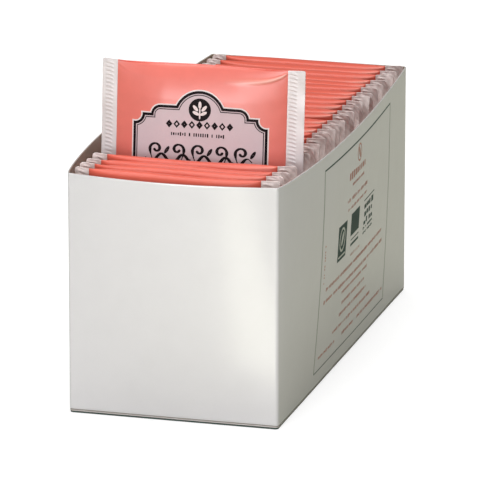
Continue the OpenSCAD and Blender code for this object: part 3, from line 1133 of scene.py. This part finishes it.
def label_stroke(points, width, proud, count):
    """A pen stroke through flat points in millimetres, swelling and thinning as it turns."""
    points = np.array(points, float) * MM
    share = np.linspace(0, 1, len(points))
    fine = np.linspace(0, 1, count)
    smooth = np.stack([np.interp(fine, share, values) for values in points.T], axis=-1)
    for _ in range(max(2, count // len(points))):
        smooth[1:-1] = (smooth[:-2] + 2 * smooth[1:-1] + smooth[2:]) / 4
    slope = np.abs(np.gradient(smooth[:, 1]))
    reach = slope + np.abs(np.gradient(smooth[:, 0]))
    pressed = width * MM * (0.62 + 0.5 * slope / reach)
    tip = np.clip(np.minimum(fine, 1 - fine) * 14, 0.35, 1)
    return stroke(smooth, pressed * tip, on_drawn_sachet, proud)


label_ground = ink_material("label_ground", (0.67, 0.575, 0.61, 1.0), 0.4)
label_white = ink_material("label_white", (0.86, 0.80, 0.80, 1.0), 0.4)
label_black = ink_material("label_black", (0.008, 0.004, 0.006, 1.0), 0.5)
LABEL_PROUD = 0.03 * MM
INKED = LABEL_PROUD + INK_STEP
TOPPED = INKED + INK_STEP
printed_piece("label_ground", [label_fill(0.1 * MM, LABEL_PROUD)], label_ground)

# Its outline: a broad black line with a fine one inside it and a white one outside it.
BROAD_HALF, WHITE_OUTER = 0.45 * MM, 0.9 * MM
FINE_OUTER, FINE_INNER = 0.76 * MM, 1.06 * MM
black_parts = [
    label_band(-BROAD_HALF, BROAD_HALF, INKED),
    label_band(FINE_OUTER, FINE_INNER, INKED),
]
white_parts = [label_band(-WHITE_OUTER, -BROAD_HALF, LABEL_PROUD)]

# A disc with a pale sprig on it. Each leaf has its middle, in millimetres, and its turn.
DISC, DISC_RADII, DISC_EYE = (0.0, 66.7 * MM), (3.85 * MM, 3.85 * MM), (0.1 * MM, 0.1 * MM)
SPRIG_LEAF, SPRIG_EYE = (1.25 * MM, 0.55 * MM), (0.1 * MM, 0.05 * MM)
SPRIG = [
    (0, 68.3, 1.57),
    (-1.5, 67.2, 2.3),
    (1.5, 67.2, 0.85),
    (-1.3, 65.5, 2.7),
    (1.3, 65.5, 0.45),
]
black_parts.append(ring_slab(DISC, DISC_RADII, DISC_EYE, on_drawn_sachet, INKED))
for x, z, turn in SPRIG:
    spot = x * MM, z * MM
    white_parts.append(ring_slab(spot, SPRIG_LEAF, SPRIG_EYE, on_drawn_sachet, TOPPED, turn))
white_parts.append(label_stroke([(0, 63.6), (0, 65), (0, 67.4)], 0.45, TOPPED, 8))

# A row of lozenges, open and filled by turns, with a row of small bars beneath it.
LOZENGES = 9
LOZENGE_PITCH, LOZENGE_Z = 2.62, 61.55
LOZENGE_HALF_W, LOZENGE_HALF_H = 1.15, 1.35
OPEN_SHARE, FILLED_SHARE = 0.42, 0.08
lozenge = np.array([(-1, 0), (0, -1), (1, 0), (0, 1)]) * (LOZENGE_HALF_W, LOZENGE_HALF_H)
for k in range(LOZENGES):
    middle = np.array([(k - (LOZENGES - 1) / 2) * LOZENGE_PITCH, LOZENGE_Z])
    hole = lozenge * (OPEN_SHARE if k % 2 else FILLED_SHARE)
    shape = band((middle + lozenge) * MM, (middle + hole) * MM)
    black_parts.append(draped_slab(*shape, on_drawn_sachet, INKED))
sizes = bar_sizes(pitch=0.78, width=0.42, height=1.25, gap_share=0.12, seed=5)
black_parts.append(text_row(-9.6 * MM, 19.2 * MM, 58.2 * MM, sizes, on_drawn_sachet, INKED))

# A vine in pen strokes: a waving stem, with a curled tendril and a leaf at every wave.
VINE_Z, VINE_SWING, VINE_PITCH = 49.6, 1.7, 7.4
TENDRILS, TENDRIL_Z, TENDRIL_SIZE = 5, 52.9, 2.3
VINE_LEAF = (1.5 * MM, 0.6 * MM)
TENDRIL_STEP = 0.002 * MM
stem_x = np.linspace(-18.6, 18.2, 60)
stem_z = VINE_Z + VINE_SWING * np.sin(stem_x * 2 * np.pi / VINE_PITCH)
black_parts.append(label_stroke(np.stack([stem_x, stem_z], axis=-1), 1.1, INKED, 160))
turn = np.linspace(0, 4.1 * np.pi / 2, 22)
size = TENDRIL_SIZE * np.exp(-turn * 0.21)
for k in range(TENDRILS):
    side = 1 if k % 2 else -1
    x = (k - (TENDRILS - 1) / 2) * VINE_PITCH
    coil = np.stack([x + side * size * np.cos(turn), TENDRIL_Z + size * np.sin(turn)], axis=-1)
    tail = np.array([(x + side * 1.4, 49.4), (x + side * 2.1, 51.3)])
    curl = np.concatenate([tail, coil])
    black_parts.append(label_stroke(curl, 1.0, INKED + TENDRIL_STEP, 60))
    spot = (x + VINE_PITCH / 2) * MM, (48.6 if k % 2 else 52.6) * MM
    black_parts.append(ring_slab(spot, VINE_LEAF, SPRIG_EYE, on_drawn_sachet, INKED, 1.0))
printed_piece("label_white", white_parts, label_white)
printed_piece("label_black", black_parts, label_black)

# ---------------------------------------------------------------------------
# Studio. A plain pale floor under a broad lamp overhead, two soft lamps in front of the
# carton, and a narrow strip that lights a band of floor for the glossy front to mirror.
# ---------------------------------------------------------------------------
FLOOR_HALF = 8.0
FLOOR_BOUNCE = (0.42, 0.42, 0.34, 1.0)
FLOOR_SEEN = (0.5, 0.5, 0.5, 1.0)
FLOOR_GLOW = 0.6
floor_material, floor_tree, floor_shader = new_material("studio_floor")
camera_ray = add_node(floor_tree, "ShaderNodeLightPath").outputs["Is Camera Ray"]
floor_color = blend_colors(floor_tree, camera_ray, FLOOR_BOUNCE, FLOOR_SEEN)
floor_glow = calc(floor_tree, "MULTIPLY", camera_ray, FLOOR_GLOW)
floor_tree.links.new(floor_color, floor_shader.inputs["Base Color"])
floor_tree.links.new(floor_glow, floor_shader.inputs["Emission Strength"])
floor_shader.inputs["Emission Color"].default_value = (1.0, 1.0, 1.0, 1.0)
floor_shader.inputs["Roughness"].default_value = 0.9
floor_shader.inputs["Specular IOR Level"].default_value = 0.0
floor_corners = [(-FLOOR_HALF, -FLOOR_HALF, 0), (FLOOR_HALF, -FLOOR_HALF, 0)]
floor_corners += [(FLOOR_HALF, FLOOR_HALF, 0), (-FLOOR_HALF, FLOOR_HALF, 0)]
floor = new_piece("studio_floor", floor_corners, [[0, 1, 2, 3]], floor_material, smooth=False)
floor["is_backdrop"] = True


def aim(thing, place, target):
    """Puts a lamp or a camera at a place, looking at a target."""
    thing.location = place
    thing.rotation_euler = (place - target).to_track_quat("Z", "Y").to_euler()


def around(target, azimuth, elevation, distance):
    """A place seen from the target at an azimuth and an elevation, in degrees."""
    a, e = math.radians(azimuth), math.radians(elevation)
    back = Vector((math.sin(a) * math.cos(e), -math.cos(a) * math.cos(e), math.sin(e)))
    return target + distance * back


def soft_lamp(name, target, azimuth, elevation, distance, size, power, color):
    """A rectangular soft lamp that shines on the target."""
    light = bpy.data.lights.new(name, "AREA")
    light.shape = "RECTANGLE"
    light.size, light.size_y = size
    light.energy = power
    light.color = color
    lamp = bpy.data.objects.new(name, light)
    bpy.context.scene.collection.objects.link(lamp)
    lamp.visible_camera = False
    aim(lamp, around(target, azimuth, elevation, distance), target)


CAMERA_AZIMUTH = 15.70
CAMERA_ELEVATION = 15.70
CAMERA_DISTANCE = 1.702
FOCAL_LENGTH = 391.3
look_at = Vector((23.0 * MM, front_y, 63.95 * MM))
camera_data = bpy.data.cameras.new("camera")
camera_data.sensor_width = 36.0
camera_data.lens = FOCAL_LENGTH
camera_data.clip_start = 0.05
camera_data.clip_end = 50.0
camera = bpy.data.objects.new("camera", camera_data)
bpy.context.scene.collection.objects.link(camera)
aim(camera, around(look_at, CAMERA_AZIMUTH, CAMERA_ELEVATION, CAMERA_DISTANCE), look_at)
bpy.context.scene.camera = camera

# Each lamp has its azimuth, elevation and distance from its target, then its size, its
# power and its colour. An overhead lamp stops just short of upright, so that it can be aimed.
OVERHEAD = 89.9
FRONT_LIGHT = (1.0, 0.985, 1.0)
soft_lamp("overhead_lamp", look_at, 0, OVERHEAD, 1.6, (1.8, 1.8), 36.0, (1.0, 1.0, 0.99))
soft_lamp("front_lamp", look_at, -12, 3, 1.3, (0.42, 0.36), 5.4, FRONT_LIGHT)
soft_lamp("upper_front_lamp", look_at, 0, 18, 1.3, (0.5, 0.4), 3.0, FRONT_LIGHT)

# The strip lies just above the floor and shines straight down on it.
TARGET_DROP, STRIP_HEIGHT = 1.0, 4 * MM
below_strip = Vector((30 * MM, front_y - 320 * MM, -TARGET_DROP))
strip_away = TARGET_DROP + STRIP_HEIGHT
soft_lamp("low_strip", below_strip, 0, OVERHEAD, strip_away, (0.036, 0.54), 0.44, (1.0, 1.0, 1.0))

SKY_LIGHT, SKY_SEEN = 0.15, 1.0
world = bpy.data.worlds.new("studio")
bpy.context.scene.world = world
world.use_nodes = True
world_tree = world.node_tree
sky = world_tree.nodes["Background"]
sky_ray = add_node(world_tree, "ShaderNodeLightPath").outputs["Is Camera Ray"]
sky_strength = calc(world_tree, "MULTIPLY_ADD", sky_ray, SKY_SEEN - SKY_LIGHT, SKY_LIGHT)
world_tree.links.new(sky_strength, sky.inputs["Strength"])
sky.inputs["Color"].default_value = (1.0, 1.0, 1.0, 1.0)
bpy.context.scene.view_settings.view_transform = "Standard"

seen_low, seen_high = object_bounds()
sizes = {
    "cad": [list(cad_low), list(cad_high)],
    "visual": [list(seen_low), list(seen_high)],
}
